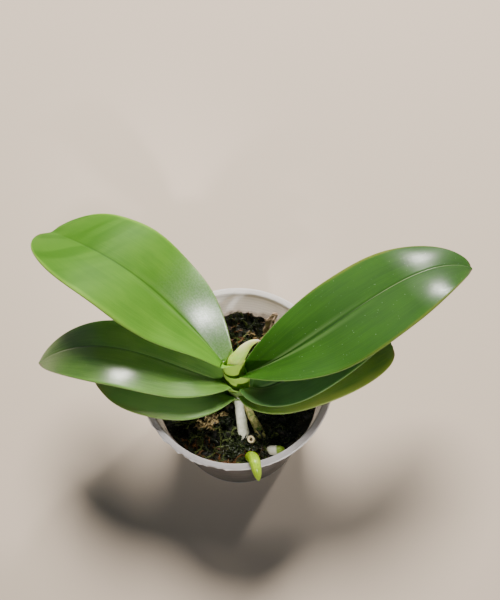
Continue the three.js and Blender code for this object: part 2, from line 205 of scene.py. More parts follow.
# %% Wires
class Wire:
    """One output socket of a finish, which takes part in sums and products."""

    def __init__(self, finish, socket):
        self.finish = finish
        self.socket = socket

    def math(self, operation, first, second=None):
        values = {0: first} if second is None else {0: first, 1: second}
        return self.finish.node("ShaderNodeMath", {"operation": operation}, values)

    def __add__(self, other):
        return self.math("ADD", self, other)

    def __sub__(self, other):
        return self.math("SUBTRACT", self, other)

    def __rsub__(self, other):
        return self.math("SUBTRACT", other, self)

    def __mul__(self, other):
        return self.math("MULTIPLY", self, other)

    def __pow__(self, other):
        return self.math("POWER", self, other)

    __radd__ = __add__
    __rmul__ = __mul__

    def size(self):
        return self.math("ABSOLUTE", self)

    def sine(self):
        return self.math("SINE", self)

    def rise(self, low, high):
        """0 below low, 1 above high and smooth between; falls instead when low is the larger."""
        start, end, first, last = (low, high, 0.0, 1.0) if low < high else (high, low, 1.0, 0.0)
        ends = {1: start, 2: end, 3: first, 4: last}
        return self.finish.node("ShaderNodeMapRange", {"interpolation_type": "SMOOTHSTEP"}, {0: self, **ends})


class Finish:
    """A material under construction."""

    def __init__(self, name, slot_colour):
        self.material = bpy.data.materials.new(name)
        self.material.use_nodes = True
        self.material.diffuse_color = (*slot_colour, 1)
        self.tree = self.material.node_tree
        self.shader = self.tree.nodes["Principled BSDF"]

    def node(self, kind, settings=None, sockets=None, out=0):
        made = self.tree.nodes.new(kind)
        for name, value in (settings or {}).items():
            setattr(made, name, value)
        for name, value in (sockets or {}).items():
            self.feed(made.inputs[name], value)
        return Wire(self, made.outputs[out])

    def feed(self, socket, value):
        if isinstance(value, Wire):
            self.tree.links.new(value.socket, socket)
        elif socket.type == "RGBA":
            socket.default_value = (*value, 1)
        else:
            socket.default_value = value

    def mix(self, factor, under, over):
        """One colour over another, by a factor from 0 to 1. The node's colours are sockets 6 and 7."""
        return self.node("ShaderNodeMix", {"data_type": "RGBA"}, {0: factor, 6: under, 7: over}, out=2)

    def place(self):
        """The three numbers that each point of a mesh carries."""
        noted = self.node("ShaderNodeAttribute", {"attribute_name": "place"}, out=1)
        return self.split(noted)

    def split(self, vector):
        return [self.node("ShaderNodeSeparateXYZ", None, {0: vector}, out=k) for k in range(3)]

    def join(self, x, y, z):
        return self.node("ShaderNodeCombineXYZ", None, {0: x, 1: y, 2: z})

    def spot(self):
        """The place on the object, in millimetres."""
        metres = self.node("ShaderNodeTexCoord", out=3)
        return self.node("ShaderNodeVectorMath", {"operation": "SCALE"}, {0: metres, 3: 1 / MM})

    def noise(self, where, scale, detail=3.0, rough=0.5):
        values = {"Vector": where, "Scale": scale, "Detail": detail, "Roughness": rough}
        return self.node("ShaderNodeTexNoise", None, values)

    def specks(self, where, scale):
        """The distance to the nearest of many scattered spots."""
        return self.node("ShaderNodeTexVoronoi", None, {"Vector": where, "Scale": scale})

    def bump(self, height, depth, strength):
        """Fine relief, its depth in millimetres."""
        values = {"Height": height, "Distance": depth * MM, "Strength": strength}
        return self.node("ShaderNodeBump", None, values)

    def shade(self, **sockets):
        """Sets the shader's own sockets, with underscores for the spaces in their names."""
        for name, value in sockets.items():
            self.feed(self.shader.inputs[name.replace("_", " ").title().replace("Ior", "IOR")], value)
        return self.material


# %% [markdown]
# ## The leaf finish
# A moth orchid's leaf is thick and waxy. Along its midrib, which is a groove, a dark line is painted as
# painted shade in the crease, and near the base a pale band beside it is a painted highlight on the
# groove's sides. On some leaves a pale line on the midrib toward the tip is a painted highlight too.
# Fine pale veins run beside the midrib from the base to the tip. A thin pale line along the margin is
# a painted glint, and old leaves take on a yellow or purple tint there. A picture of a leaf could be
# laid over the blade, but masks worked out from the place on the blade follow its midrib and margin at
# any size. Most of the wax is dull. A clear coat lies over it only where the real leaf shines, and
# small cells and veins break that shine up.

# %% Leaf colours
LEAF_BAND = (0.044, 0.150, 0.003)
# The pale of the painted highlights beside and on the midrib.
MIDRIB_HIGHLIGHT = (0.36, 0.50, 0.20)
# The pale of the painted glint along the margin.
MARGIN_GLINT = (0.34, 0.45, 0.16)
UNDERSIDE = (0.22, 0.34, 0.10)
DUST = (0.42, 0.55, 0.33)
# How dark the painted shade in the midrib groove is, as a share of the deep green.
MIDRIB_SHADE = 0.55
LIGHT_REACH = (1.0, 1.8, 0.3)


# %% Leaf finish
def leaf_finish(
    name, deep, bright, margin, margin_width, tip, tip_start, base,
    dusty=0.0, bands=0.0, rib_shade_and_highlight=0.65, rib_highlight=0.0, glow=(0.3, 2.0),
    dull=0.36, haze=0.3, coat=(0.2, 1.5), glossy_tip=0.0, glossy_from=0.64, glossy_base=0.0,
):
    """One leaf's wax: its greens and tints, painted shade and highlights at the midrib, a painted glint at
    the margin, then how dull it is and where its coat shines.
    """
    finish = Finish(name, bright)
    midrib = [c * MIDRIB_SHADE for c in deep]
    along, across, side = finish.place()
    spot = finish.spot()
    off = across.size()
    veins = finish.noise(finish.join(along * 3.0, across * 34.0, side * 3.0), 1.0, 4.0, 0.6)
    lines = finish.noise(finish.join(along * 2.2, across * 95.0, side * 3.0), 1.0, 2.0)
    clouds = finish.noise(finish.join(along * 4.0, across * 2.4, side), 1.6, 3.0)
    cells = finish.noise(spot, 1.3, 3.0)

    tone = (clouds * 0.6 + veins * 0.4 + lines * 0.5 + off * 0.15 - 0.3).rise(0.12, 0.95)
    green = finish.mix(tone, deep, bright)
    if bands:
        wave = finish.noise(finish.join(along * 15.0 - across * 2.0, across * 0.8, side), 1.0, 1.0)
        strength = (wave.rise(0.42, 0.6) * 0.45 + 0.55) * along.rise(0.5, 0.82) * bands
        green = finish.mix(strength, green, LEAF_BAND)
    line = off.rise(0.026, 0.008)
    # Painted highlight: a pale band on the groove's sides beside the midrib, near the base.
    beside_highlight = off.rise(0.03, 0.07) * off.rise(0.17, 0.08)
    green = finish.mix(beside_highlight * 0.28 * rib_shade_and_highlight * along.rise(0.6, 0.1), green, MIDRIB_HIGHLIGHT)
    # Painted shade: a dark line along the midrib groove, fading before the tip.
    green = finish.mix(line * rib_shade_and_highlight * along.rise(1.0, 0.7), green, midrib)
    # Painted highlight: a pale line on the midrib toward the tip, on leaves that ask for it.
    green = finish.mix(off.rise(0.014, 0.004) * along.rise(0.4, 0.7) * rib_highlight, green, MIDRIB_HIGHLIGHT)
    # The base colour lies over the sheath. Where it is pale it is partly the sheath's own colour and partly
    # painted light that shines through the sheath; where it is near black it is painted shade.
    outer = (along - off * 0.02 + (veins - 0.5) * 0.04).rise(0.05, -0.03) * side.rise(0.3, -0.3)
    inner = along.rise(0.03, -0.12) * 0.4
    green = finish.mix(outer + inner * side.rise(-0.3, 0.3), green, base)
    if dusty:
        dust = finish.specks(spot, 0.62).rise(0.16, 0.05) * cells.rise(0.48, 0.62) * dusty
        green = finish.mix(dust, green, DUST)
    stained = (off + (clouds - 0.5) * 0.12).rise(1 - margin_width * 2, 1 - margin_width * 0.35)
    green = finish.mix(stained * along.rise(0.25, 0.55), green, margin)
    tinted = (along + (veins - 0.5) * 0.05).rise(tip_start, 1.0) * off.rise(0.2, 0.95)
    green = finish.mix(tinted, green, tip)
    # Painted glint: a thin pale line along the rounded margin.
    green = finish.mix(off.rise(0.972, 0.995) * 0.35, green, MARGIN_GLINT)
    green = finish.mix(side.rise(0.4, -0.4) * 0.45, green, UNDERSIDE)

    relief = lines * 0.45 + veins * 0.2 + cells * 0.35
    wax = finish.bump(relief, 0.12, 0.8)
    glossy = along.rise(glossy_from, glossy_from + 0.12) * glossy_tip
    glossy = glossy + along.rise(0.45, 0.25) * across.rise(0.0, -0.2) * glossy_base
    glossy = glossy * (cells.rise(0.42, 0.58) * 0.3 + veins * 0.6 + 0.45)
    finish.shade(coat_weight=glossy, coat_roughness=coat[0], coat_ior=coat[1])
    shine = (veins * 0.12 + clouds * 0.12) + (dull - 0.12)
    finish.shade(base_color=green, roughness=shine, normal=wax, specular_ior_level=haze)
    weight, depth = glow
    finish.shade(subsurface_weight=weight, subsurface_radius=LIGHT_REACH)
    return finish.shade(subsurface_scale=depth * MM)


# %% [markdown]
# ## The leaf's shape
# Each blade grows along a curved midrib. It starts as a steep folded keel where it clasps the stem
# and opens to a shallow valley. The outline is set by where it is widest and how blunt its tip is.
# A blade could be sculpted from a flat sheet, but then every change is made six times over. Here
# one formula serves all leaves, so what makes each leaf itself is a handful of sizes.
# The blade has a real thickness, thickest at the midrib, and a rounded margin.

# %% Leaf sizes
LEAF_THICKNESS = 1.7
LEAF_EDGE = 0.75
TIP_WIDTH = 0.5
KEEL_RADIUS = 1.0
ARCH = 0.006
RIPPLE_PACE = 19

LEAVES = {
    "leaf_left_upper": dict(
        midrib=[(-4.2, 2.6, 78.5), (-30, 22.5, 108.5), (-53, 36, 123.5), (-82, 59, 108.5)],
        left=23.5, right=23.5, widest=0.5, base=4.6, narrow=(0.2, 4.6), swell=(0.54, 0.75),
        blunt=2.6, round=0.43, roll=(0, 10), fold=(50, 14), lobes=(5, 1.5), ripple=0.5,
    ),
    "leaf_right_upper": dict(
        midrib=[(4.6, 0.2, 75), (38, 6, 106), (74, 26, 113), (107.5, 36.5, 103)],
        left=19, right=21.5, widest=0.45, base=4.6, swell=(0.85, 0.85), blunt=2.1, round=0.78,
        roll=(0, -4), fold=(52, 10), lobes=(1.5, 0.5), ripple=0.35,
    ),
    "leaf_left_middle": dict(
        midrib=[(-4.6, -1.2, 68.5), (-28, 0, 89), (-58, 7.5, 94), (-91.5, 8.5, 75.5)],
        left=18.5, right=14.5, widest=0.6, base=4.4, swell=(0.62, 0.9), blunt=2.1, round=0.76,
        roll=(4, 8), fold=(45, 8), lobes=(0, 0),
    ),
    "leaf_right_middle": dict(
        midrib=[(4.8, -1.6, 67.5), (24, -5.5, 84), (52, 10, 91), (76, 20, 86)],
        left=15.5, right=15, widest=0.5, base=4.4, swell=(0.9, 0.75), blunt=2.1, round=0.7,
        roll=(0, 0), fold=(45, 14), lobes=(0, 0),
    ),
    "leaf_left_lower": dict(
        midrib=[(-4.0, -3.6, 60.5), (-23.5, -7.5, 78), (-45, -3.5, 82), (-64.5, -2.5, 78)],
        left=17, right=16, widest=0.51, base=4.2, swell=(0.7, 0.9), blunt=2.1, round=0.71,
        roll=(0, 0), fold=(45, 12), lobes=(0, 0),
    ),
    "leaf_right_lower": dict(
        midrib=[(5.0, -3.6, 61.0), (21.5, -8, 76), (50, 1, 81.5), (72.5, 9.5, 79)],
        left=15, right=14.5, widest=0.57, base=4.2, swell=(0.9, 0.75), blunt=2.1, round=0.66,
        roll=(0, 0), fold=(45, 12), lobes=(1, 0.5),
    ),
}
print(len(LEAVES), "grown leaves follow one formula")


# %% Leaf formula
def midrib_curve(stops, t):
    """The cubic curve that passes four stops at equal steps, and its direction."""
    a, b, c, d = (np.asarray(p, float) for p in stops)
    p = (-5 * a + 18 * b - 9 * c + 2 * d) / 6
    q = (2 * a - 9 * b + 18 * c - 5 * d) / 6
    t = t[..., None]
    u = 1 - t
    point = u**3 * a + 3 * u * u * t * p + 3 * u * t * t * q + t**3 * d
    ahead = u * u * (p - a) + 2 * u * t * (q - p) + t * t * (d - q)
    return point, unit(ahead)


def half_width(leaf, side, s):
    """How far the blade reaches from its midrib: side 0 is its left and side 1 its right."""
    most, swell = leaf[("left", "right")[side]], leaf["swell"][side]
    base = leaf.get("narrow", (leaf["base"], leaf["base"]))[side]
    grown = np.sin(np.pi / 2 * np.clip(s / leaf["widest"], 0, 1)) ** swell
    x = np.clip((s - leaf["widest"]) / (1 - leaf["widest"]), 0, 1)
    closed = TIP_WIDTH + (most - TIP_WIDTH) * (1 - x ** leaf["blunt"]) ** leaf["round"]
    return np.where(s < leaf["widest"], base + (most - base) * grown, closed)


def leaf_place(leaf, s, v):
    """Points of the blade's middle surface: s from base to tip, v from 1 (left) to -1 (right)."""
    point, ahead = midrib_curve(leaf["midrib"], s)
    left = unit(np.cross(np.broadcast_to([0.0, 0.0, 1.0], ahead.shape), ahead))
    above = np.cross(ahead, left)
    roll = np.radians(leaf["roll"][0] + (leaf["roll"][1] - leaf["roll"][0]) * s)[..., None]
    across = left * np.cos(roll) + above * np.sin(roll)
    out = above * np.cos(roll) - left * np.sin(roll)
    widths = [half_width(leaf, side, s) for side in (0, 1)]
    reach = np.abs(v) * np.where(v > 0, *widths)
    opening = leaf["fold"][0] + (leaf["fold"][1] - leaf["fold"][0]) * smoothstep(0, 0.35, s)
    valley = np.radians(opening)
    climb = (np.sqrt(reach**2 + KEEL_RADIUS**2) - KEEL_RADIUS) * np.sin(valley)
    bend = ARCH * reach**2 * smoothstep(0.05, 0.5, s)
    lobe = np.where(v > 0, *leaf["lobes"]) * smoothstep(0, 5, reach) * smoothstep(0.7, 1, s)
    wave = np.sin(RIPPLE_PACE * s + 2.1 * np.sign(v))
    ripple = leaf.get("ripple", 0.0) * np.abs(v) ** 3 * wave * smoothstep(0.1, 0.4, s)
    sideways = np.sign(v) * reach * np.cos(valley)
    lifted = climb - bend + ripple
    return point + across * sideways[..., None] + out * lifted[..., None] + ahead * lobe[..., None]


# %% [markdown]
# ## Sheaths
# Under each blade its base goes on as a sheath: a closed tube round the stem that opens on the side
# away from the blade, so that its margins climb round the stem and run on into the blade's margins.
# Measured from the stem's axis, a sheath is an angle and a radius at each height. At its foot the
# angle goes all the way round, and at the blade it is the narrow angle that the blade's own section
# takes up, so the form between them is a blend of the two. Older sheaths lie outside younger ones.
# The whole fan is flat from front to back, so a sheath is an oval: wide towards its leaf, less deep.
# A sheath could be a piece of its own, but its margins run on into the blade's, so both are one sheet.
# In the table, foot, keel and rim are heights, and low and high are the oval's half widths at its foot
# and its mouth. Join is the place on the blade where the sheath ends. The last three bend the blend.

# %% Sheath sizes
HEART = np.array([
    (1.6, -7.4, 44.0), (1.0, -3.3, 63.0), (-0.8, 2.7, 79.0), (-1.3, 5.0, 86.0), (-1.6, 7.0, 100.0),
])
SHEATH_THICKNESS = 0.8
SHEATH_OVERLAP = 0.1
SHEATH_SPIRAL = 0.04
SHEATH_SIZES = ("foot", "keel", "rim", "low", "high", "join", "late", "lift", "tuck")
SHEATH_TABLE = {
    "leaf_left_upper": (64.0, 77.0, 82.5, (2.4, 2.3), (5.0, 2.4), 0.022, 1.3, 3, 3),
    "leaf_right_upper": (58.0, 70.0, 75.0, (2.8, 2.6), (5.6, 3.3), 0.012, 1, 1, 1),
    "leaf_left_middle": (54.0, 64.0, 62.5, (3.0, 2.9), (4.7, 3.8), 0.05, 1.3, 1, 1),
    "leaf_right_middle": (52.0, 59.0, 60.0, (3.2, 3.1), (4.6, 4.2), 0.07, 2, 1, 1),
    "leaf_left_lower": (50.0, 57.5, 58.0, (3.4, 3.3), (4.3, 4.1), 0.05, 2, 1, 1),
    "leaf_right_lower": (48.0, 56.5, 57.0, (3.5, 3.5), (4.3, 4.2), 0.05, 2, 1, 1),
}
SHEATHS = {name: dict(zip(SHEATH_SIZES, sizes)) for name, sizes in SHEATH_TABLE.items()}
print(len(SHEATHS), "sheaths wrap the stem")


# %% Sheath formula
def stem_axis(z):
    """The middle of the stem at some heights."""
    z = np.asarray(z, float)
    return np.stack([np.interp(z, HEART[:, 2], HEART[:, k]) for k in range(3)], axis=-1)


def sheath_place(leaf, sheath, u, v):
    """Points of the sheath: u from 0 at its foot to 1 where the blade begins."""
    join = sheath["join"]
    top = leaf_place(leaf, np.full_like(u, join), v)
    arm = top - stem_axis(top[..., 2])
    keel = leaf_place(leaf, np.array([join]), np.array([0.0]))[0]
    keel = keel - stem_axis(keel[2])
    heading = math.atan2(keel[1], keel[0])
    top_turn = (np.arctan2(arm[..., 1], arm[..., 0]) - heading + np.pi) % (2 * np.pi) - np.pi
    top_radius = np.hypot(arm[..., 0], arm[..., 1])
    closed = np.clip(u * 2, 0, 1)
    opened = np.clip(u * 2 - 1, 0, 1)
    ease = smoothstep(0, 1, opened)
    mouth = sheath["keel"] + (sheath["rim"] - sheath["keel"]) * smoothstep(0, 1, np.abs(v))
    tube_z = sheath["foot"] + (mouth - sheath["foot"]) * closed
    wide, deep = (low + (high - low) * closed for low, high in zip(sheath["low"], sheath["high"]))
    overlap = 1 + SHEATH_OVERLAP - SHEATH_OVERLAP * ease
    turn = heading + np.pi * v * overlap * (1 - ease) + top_turn * ease
    spiral = 1 + SHEATH_SPIRAL * v * np.abs(v)
    wide, deep = wide * spiral, deep * spiral
    z = top[..., 2] + (tube_z - top[..., 2]) * (1 - opened) ** sheath["lift"]
    late = ease ** sheath["late"]
    across = np.cos(turn) * (wide + (top_radius - wide) * late)
    depth = np.sin(turn) * (deep + (top_radius - deep) * late ** sheath["tuck"])
    return stem_axis(z) + np.stack([across, depth, np.zeros_like(z)], axis=-1)


# %% Leaf mesh
SHEATH_ROWS = 44
TIP_CROWDING = 1.35
ROUNDED = 0.05
GROOVE = dict(depth=0.2, width=0.45, under=0.6)


def leaf_mesh(name, finish, rows=150, columns=61):
    """A blade with its sheath. Columns crowd at the midrib and the margin, where the form turns most."""
    leaf = LEAVES[name]
    sheath = SHEATHS.get(name)
    start = sheath["join"] if sheath else 0.0
    t = np.linspace(0, 1, rows)
    s = start + (1 - start) * (1 - (1 - t) ** TIP_CROWDING)
    even = np.linspace(1, -1, columns)
    v = np.sin(np.pi / 2 * even) * (0.35 + 0.65 * np.abs(even))
    grid_s, grid_v = np.meshgrid(s, v, indexing="ij")
    middle = leaf_place(leaf, grid_s, grid_v)
    if sheath:
        grid_u, sheath_v = np.meshgrid(np.linspace(0, 1, SHEATH_ROWS, endpoint=False), v, indexing="ij")
        middle = np.vstack([sheath_place(leaf, sheath, grid_u, sheath_v), middle])
        grid_s = np.vstack([start - (1 - grid_u) * 0.4, grid_s])
        grid_v = np.vstack([sheath_v, grid_v])
    normal = unit(np.cross(np.gradient(middle, axis=0), -np.gradient(middle, axis=1)))
    off = np.abs(grid_v)
    full = SHEATH_THICKNESS + (LEAF_THICKNESS - SHEATH_THICKNESS) * smoothstep(-0.1, 0.2, grid_s)
    thick = full * (1 - (1 - LEAF_EDGE / LEAF_THICKNESS) * off**2)
    past = np.clip(off - (1 - ROUNDED), 0, 1) / ROUNDED
    thick *= np.sqrt(np.clip(1 - past**2, 0.0, 1))
    reach = off * half_width(leaf, 0, grid_s)
    groove = GROOVE["depth"] * np.exp(-((reach / GROOVE["width"]) ** 2))
    groove = groove * smoothstep(0.02, 0.2, grid_s) * smoothstep(1, 0.8, grid_s)
    top = middle + normal * (thick / 2 - groove)[..., None]
    under = middle - normal * (thick / 2 + groove * GROOVE["under"])[..., None]
    rings = np.concatenate([top, under[:, -2:0:-1]], axis=1)
    notes_top = np.stack([grid_s, grid_v, np.ones_like(grid_s)], axis=-1)
    notes_under = np.stack([grid_s, grid_v, -np.ones_like(grid_s)], axis=-1)[:, -2:0:-1]
    notes = np.concatenate([notes_top, notes_under], axis=1)
    return one_skin(name + "_blade", rings, notes, finish, name)


# %% [markdown]
# ## The young leaf
# The newest leaf is still folded shut. Seen from outside it is one smooth pointed horn that bends to
# the right, with a seam along its upper side where its two margins meet. It stands in the mouth of
# the youngest sheath and fills it. The leaf formula could fold it shut, but its two halves would
# then lie inside each other. So it is an oval section along a bent path, and the seam is a small
# step in that section.

# %% Young leaf sizes
NEW_LEAF = dict(
    places=[
        (-0.6, 2.6, 76), (0.0, 3.5, 83), (1.9, 3.9, 88.5), (4.1, 4.6, 93.8),
        (6.9, 5.5, 97.6), (9.4, 5.6, 99.8), (11.4, 5.4, 100.6),
    ],
    widths=[(0, 3.8), (0.25, 3.7), (0.45, 3.1), (0.63, 2.5), (0.8, 1.7), (0.92, 1.0), (1, 0.2)],
    depths=[(0, 1.7), (0.25, 2.0), (0.45, 1.8), (0.63, 1.4), (0.8, 1.0), (0.92, 0.6), (1, 0.15)],
    face=(0.0, -0.85, 0.5), seam=0.35, lip=0.22, groove=0.3, hidden=0.3,
)


# %% Young leaf mesh
def smooth_value(stops, t):
    """A smooth curve of value over t through the stops."""
    curve = smooth_path([(at, value, 0) for at, value in stops], 300)
    return np.interp(t, curve[:, 0], curve[:, 1])


def young_leaf_mesh(finish, count=120, sides=96):
    leaf = NEW_LEAF
    path = smooth_path(leaf["places"], count)
    t = np.linspace(0, 1, count)
    ahead = unit(np.gradient(path, axis=0))
    face = unit(np.array(leaf["face"]) - ahead * (ahead @ leaf["face"])[:, None])
    aside = np.cross(face, ahead)
    turns = full_turn(sides)
    past = (turns - leaf["seam"] + np.pi) % (2 * np.pi) - np.pi
    lip = leaf["lip"] * np.exp(-(((past - 0.14) / 0.11) ** 2))
    groove = leaf["groove"] * np.exp(-(((past + 0.08) / 0.09) ** 2))
    step = (lip - groove)[None, :] * np.clip(smooth_value(leaf["widths"], t) / 3, 0, 1)[:, None]
    width = smooth_value(leaf["widths"], t)[:, None] + step
    depth = smooth_value(leaf["depths"], t)[:, None] + step
    rings = path[:, None] + (np.cos(turns) * width)[..., None] * aside[:, None]
    rings = rings + (np.sin(turns) * depth)[..., None] * face[:, None]
    shown = (t - leaf["hidden"]) / (1 - leaf["hidden"])
    along = np.broadcast_to(shown[:, None], width.shape)
    across = np.broadcast_to(np.sign(past) * (1 - np.abs(past) / np.pi), width.shape)
    notes = np.stack([along, across, np.ones_like(along)], axis=-1)
    return one_skin("leaf_new_horn", rings, notes, finish, "leaf_new")


# %% The seven leaves
leaf_looks = {
    "leaf_left_upper": dict(
        deep=(0.056, 0.178, 0.010), bright=(0.126, 0.298, 0.022), margin=(0.17, 0.34, 0.03),
        margin_width=0.05, tip=(0.17, 0.12, 0.06), tip_start=0.975, base=(0.56, 0.90, 0.05),
        bands=1.0, dull=0.62, glossy_base=1.2, coat=(0.40, 2.8), haze=0.22,
    ),
    "leaf_right_upper": dict(
        deep=(0.012, 0.056, 0.002), bright=(0.033, 0.118, 0.004), margin=(0.12, 0.15, 0.015),
        margin_width=0.045, tip=(0.10, 0.08, 0.03), tip_start=0.965, base=(0.54, 0.86, 0.07),
        dusty=0.3, dull=0.7, glossy_tip=1.0, coat=(0.27, 1.65), haze=0.18, rib_highlight=0.45,
    ),
    "leaf_left_middle": dict(
        deep=(0.044, 0.115, 0.018), bright=(0.130, 0.260, 0.045), margin=(0.13, 0.27, 0.05),
        margin_width=0.04, tip=(0.10, 0.09, 0.03), tip_start=0.965, base=(0.54, 0.72, 0.09),
        dusty=0.2, glossy_tip=1.0, glossy_from=0.42, coat=(0.24, 1.6),
    ),
    # The three lower leaves have near-black bases: painted shade where their sheaths lie under the younger
    # ones.
    "leaf_right_middle": dict(
        deep=(0.030, 0.080, 0.020), bright=(0.070, 0.165, 0.045), margin=(0.09, 0.20, 0.04),
        margin_width=0.05, tip=(0.08, 0.10, 0.03), tip_start=0.95, base=(0.08, 0.09, 0.02),
    ),
    "leaf_left_lower": dict(
        deep=(0.085, 0.190, 0.048), bright=(0.130, 0.240, 0.055), margin=(0.12, 0.18, 0.04),
        margin_width=0.10, tip=(0.16, 0.15, 0.04), tip_start=0.8, base=(0.11, 0.12, 0.03),
    ),
    "leaf_right_lower": dict(
        deep=(0.090, 0.180, 0.035), bright=(0.225, 0.340, 0.060), margin=(0.34, 0.38, 0.07),
        margin_width=0.16, tip=(0.25, 0.20, 0.05), tip_start=0.9, base=(0.09, 0.09, 0.03),
    ),
}
for leaf_name, looks in leaf_looks.items():
    leaf_mesh(leaf_name, leaf_finish(leaf_name + "_wax", **looks))

# The young leaf's pale greens, its whitish margin and its pale tip are partly its own young colour and partly
# painted light that shines through its thin tissue.
young_wax = leaf_finish(
    "leaf_new_wax", deep=(0.46, 0.72, 0.08), bright=(0.74, 0.94, 0.30), margin=(0.82, 0.97, 0.44),
    margin_width=0.3, tip=(0.88, 0.86, 0.42), tip_start=0.75, base=(0.46, 0.70, 0.05),
    rib_shade_and_highlight=0.0, glow=(1.0, 6.0),
)
young_leaf_mesh(young_wax)

# %% [markdown]
# ## The stem
# The stem itself is short and thick, and the sheaths hide nearly all of it. It runs down into the
# moss, where the roots leave it. It could be built ring by ring with its leaf scars, but since it is
# hidden, a tapered sweep along its middle is enough. Its top ends inside the sheaths.

# %% Stem finish
STEM_GREEN = ((0.10, 0.12, 0.03), (0.22, 0.26, 0.07))


def stem_finish():
    finish = Finish("stem_skin", (0.25, 0.3, 0.08))
    patch = finish.noise(finish.spot(), 0.5, 3.0)
    green = finish.mix(patch.rise(0.35, 0.65), *STEM_GREEN)
    return finish.shade(base_color=green, roughness=0.5, normal=finish.bump(patch, 0.2, 0.5))


# %% Stem
STEM_BOTTOM, STEM_TOP = 44.0, 69.0
STEM_RADII = (3.4, 1.5)
STEM_RINGS = 16

core_path = stem_axis(np.linspace(STEM_BOTTOM, STEM_TOP, STEM_RINGS))
core = sweep(core_path, np.linspace(*STEM_RADII, STEM_RINGS), 32)
stem = one_skin("stem_core", core, (0, 0, 0), stem_finish(), "stem")

# %% [markdown]
# ## The pot
# The pot is thin frosted plastic. Its wall is marked with fine level rings from the mould, and its
# rim has a sharp outer edge with a little ragged flash at the front left. The wall lets some light
# through, so it is partly see-through and it darkens where wet moss lies against it. A modifier
# could spin an outline into a pot. Here the outline's points become rings, since a ring is easy to
# push in where the flash is chipped.

# %% Pot sizes
POT_HEIGHT = 76.0
RIM_RADIUS = 45.0
RIM_WIDTH = 2.2
RIM_THICKNESS = 1.1
FOOT_RADIUS = 32.0
WALL = 1.0
FLOOR = 1.2
CHANNEL = dict(inner=12.0, outer=26.0, rise=1.6, slope=1.4)
DRAIN = dict(count=6, radius=3.0, ring=19.0)
MOULD_RING = dict(pitch=2.1, depth=0.07)
FLASH = dict(middle=-118, spread=38, depth=0.9)
print("pot is", 2 * RIM_RADIUS, "mm across its rim and", POT_HEIGHT, "mm high")


# %% Pot profile
def pot_outer(z):
    """The wall's outer radius at a height."""
    neck = RIM_RADIUS - RIM_WIDTH
    return FOOT_RADIUS + (neck - FOOT_RADIUS) * z / POT_HEIGHT


def pot_profile():
    """Radius and height of the pot's outline, from the middle of its underside and back."""
    step = 0.5
    inner, outer, rise, slope = (CHANNEL[k] for k in ("inner", "outer", "rise", "slope"))
    under = POT_HEIGHT - RIM_THICKNESS
    corner = [(FOOT_RADIUS - 1.2, 0), (FOOT_RADIUS - 0.6, 0.12), (FOOT_RADIUS - 0.2, 0.5)]
    corner += [(pot_outer(1.6), 1.6)]
    foot = [(0.01, 0), (inner, 0), (inner + slope, rise), (outer - slope, rise), (outer, 0), *corner]
    climb = [(pot_outer(z) + ring_relief(z), z) for z in np.arange(2.5, under - 1, step)]
    rim_under = [(pot_outer(under), under - 0.2), (pot_outer(under) + 0.5, under)]
    bead = [(1.0, 1.1), (0.5, 1.1), (0.2, 1.0), (0, 0.75), (0, 0.4), (0.15, 0.15), (0.5, 0), (1.0, 0)]
    rim_edge = [(RIM_RADIUS - inset, POT_HEIGHT - drop) for inset, drop in bead]
    mouth = pot_outer(POT_HEIGHT) - WALL
    rim_top = [(mouth + 0.6, POT_HEIGHT), (mouth + 0.2, POT_HEIGHT - 0.1), (mouth, POT_HEIGHT - 0.5)]
    down = [(pot_outer(z) - WALL - ring_relief(z), z) for z in np.arange(POT_HEIGHT - 1.5, 5, -step)]
    low = pot_outer(3.2) - WALL
    floor = [(low, 3.2), (low - 0.4, 2.0), (low - 1.2, FLOOR + 0.3), (outer + 1, FLOOR)]
    floor += [(outer - slope + 0.6, FLOOR + rise), (inner + slope - 0.6, FLOOR + rise), (inner - 1, FLOOR)]
    return np.array(foot + climb + rim_under + rim_edge + rim_top + down + floor + [(0.01, FLOOR)])


def ring_relief(z):
    """The fine level rings from the mould."""
    return MOULD_RING["depth"] * math.sin(2 * math.pi * z / MOULD_RING["pitch"]) ** 3


# %% Pot finish
FROST = ((0.84, 0.81, 0.77), (0.92, 0.89, 0.85))
RING_SHADE = (0.46, 0.43, 0.40)
WET_SOIL = ((0.032, 0.022, 0.014), (0.12, 0.088, 0.062))
# Painted shade on the front of the rim, painted light on its back.
RIM_SHADE_TO_LIGHT = ((0.19, 0.183, 0.192), (0.50, 0.48, 0.46))
RIM_EDGE = (0.56, 0.55, 0.56)
FLECK = (0.28, 0.25, 0.2)


